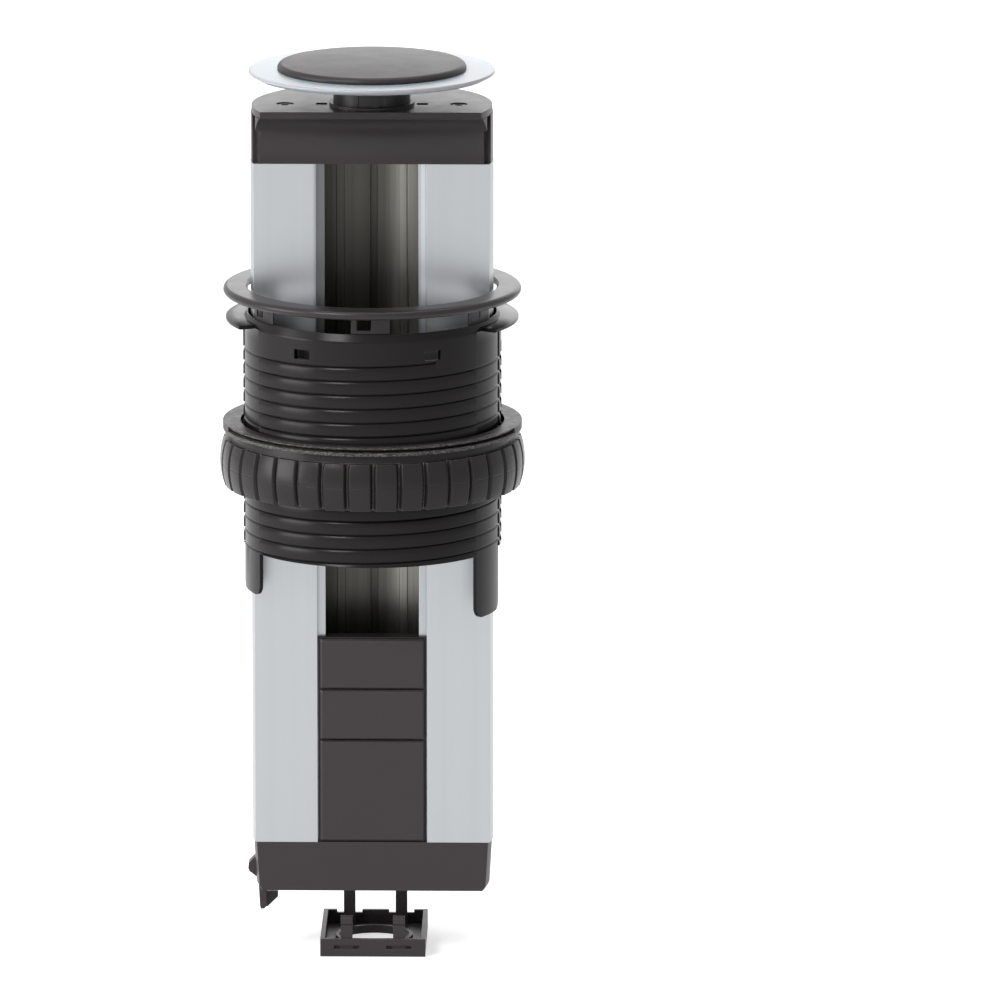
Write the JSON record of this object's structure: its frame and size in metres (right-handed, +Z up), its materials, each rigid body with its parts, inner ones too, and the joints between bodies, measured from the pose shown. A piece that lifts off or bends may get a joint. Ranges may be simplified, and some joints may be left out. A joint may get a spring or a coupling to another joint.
{
  "type": "desk socket tower",
  "caption": "Round pull-up tower housing for desk sockets: an aluminium profile with a module channel slides in a threaded tube that a clamp nut fastens in a desk cut-out.",
  "frame": {"origin": "centre of the tube at the desk's top surface, under the flange", "axes": "+Z up along the tube and the tower's travel, -Y towards the front with the module channel, +X to the right seen from the front"},
  "size_m": [0.1194, 0.1194, 0.3574],
  "materials": {
    "dark_plastic": "satin moulded anthracite",
    "trim_plastic": "fine satin anthracite",
    "washer_plastic": "matt with a rough rim",
    "nut_plastic": "half gloss moulded",
    "anodised_aluminium": "satin anodised, drawn lines along the length",
    "screw_steel": "zinc plated",
    "spring_steel": "drawn wire",
    "milky_plastic": "milky translucent acrylic",
    "cap_plastic": "fine grained",
    "blank_plastic": "satin",
    "base_plastic": "satin"
  },
  "bodies": {
    "tube": {"mounting_tube": "dark_plastic"},
    "trim": {"trim_ring": "trim_plastic"},
    "washer": {"pressure_ring": "washer_plastic"},
    "nut": {"clamp_nut": "nut_plastic"},
    "tower": {"profile": "anodised_aluminium", "head_block": "dark_plastic", "top_plate": "dark_plastic", "head_screws": "screw_steel", "lid_spring": "spring_steel", "module_frame": "dark_plastic", "upper_blank": "blank_plastic", "middle_blank": "blank_plastic", "lower_blank": "blank_plastic", "base_block": "base_plastic", "base_screws": "screw_steel", "latch_pin": "screw_steel", "latch_spring": "spring_steel"},
    "lid": {"lid_stem": "dark_plastic", "stem_clip": "spring_steel", "light_ring": "milky_plastic", "lid_cap": "cap_plastic"},
    "latch": {"latch_lever": "base_plastic"},
    "tray": {"cable_tray": "base_plastic"}
  },
  "joints": [
    {"name": "tower_slide", "type": "slide", "parent": "tube", "child": "tower", "axis": [0, 0, 1], "range_m": [-0.098, 0.125]},
    {"name": "trim_press", "type": "slide", "parent": "tube", "child": "trim", "axis": [0, 0, 1], "range_m": [-0.0085, 0]},
    {"name": "washer_slide", "type": "slide", "parent": "tube", "child": "washer", "axis": [0, 0, 1], "range_m": [-0.0222, 0.02775]},
    {"name": "nut_spin", "type": "hinge", "parent": "washer", "child": "nut", "pos_m": [0, 0, -0.055], "axis": [0, 0, 1], "range_deg": [-1440, 1800]},
    {"name": "lid_press", "type": "slide", "parent": "tower", "child": "lid", "axis": [0, 0, 1], "range_m": [-0.0025, 0], "stiffness_N_per_m": 600, "springref_m": 0.008, "deforming": ["lid_spring"]},
    {"name": "latch_turn", "type": "hinge", "parent": "tower", "child": "latch", "pos_m": [-0.043, 0, -0.2121], "axis": [0, -1, 0], "range_deg": [0, 16], "stiffness_Nm_per_rad": 0.05, "springref_deg": -22.92},
    {"name": "tray_slide", "type": "slide", "parent": "tower", "child": "tray", "axis": [0, 0, 1], "range_m": [0, 0.0195]}
  ],
  "couplings": [
    {"joint": "washer_slide", "follows": "nut_spin", "m_per_rad": 0.00088331}
  ]
}
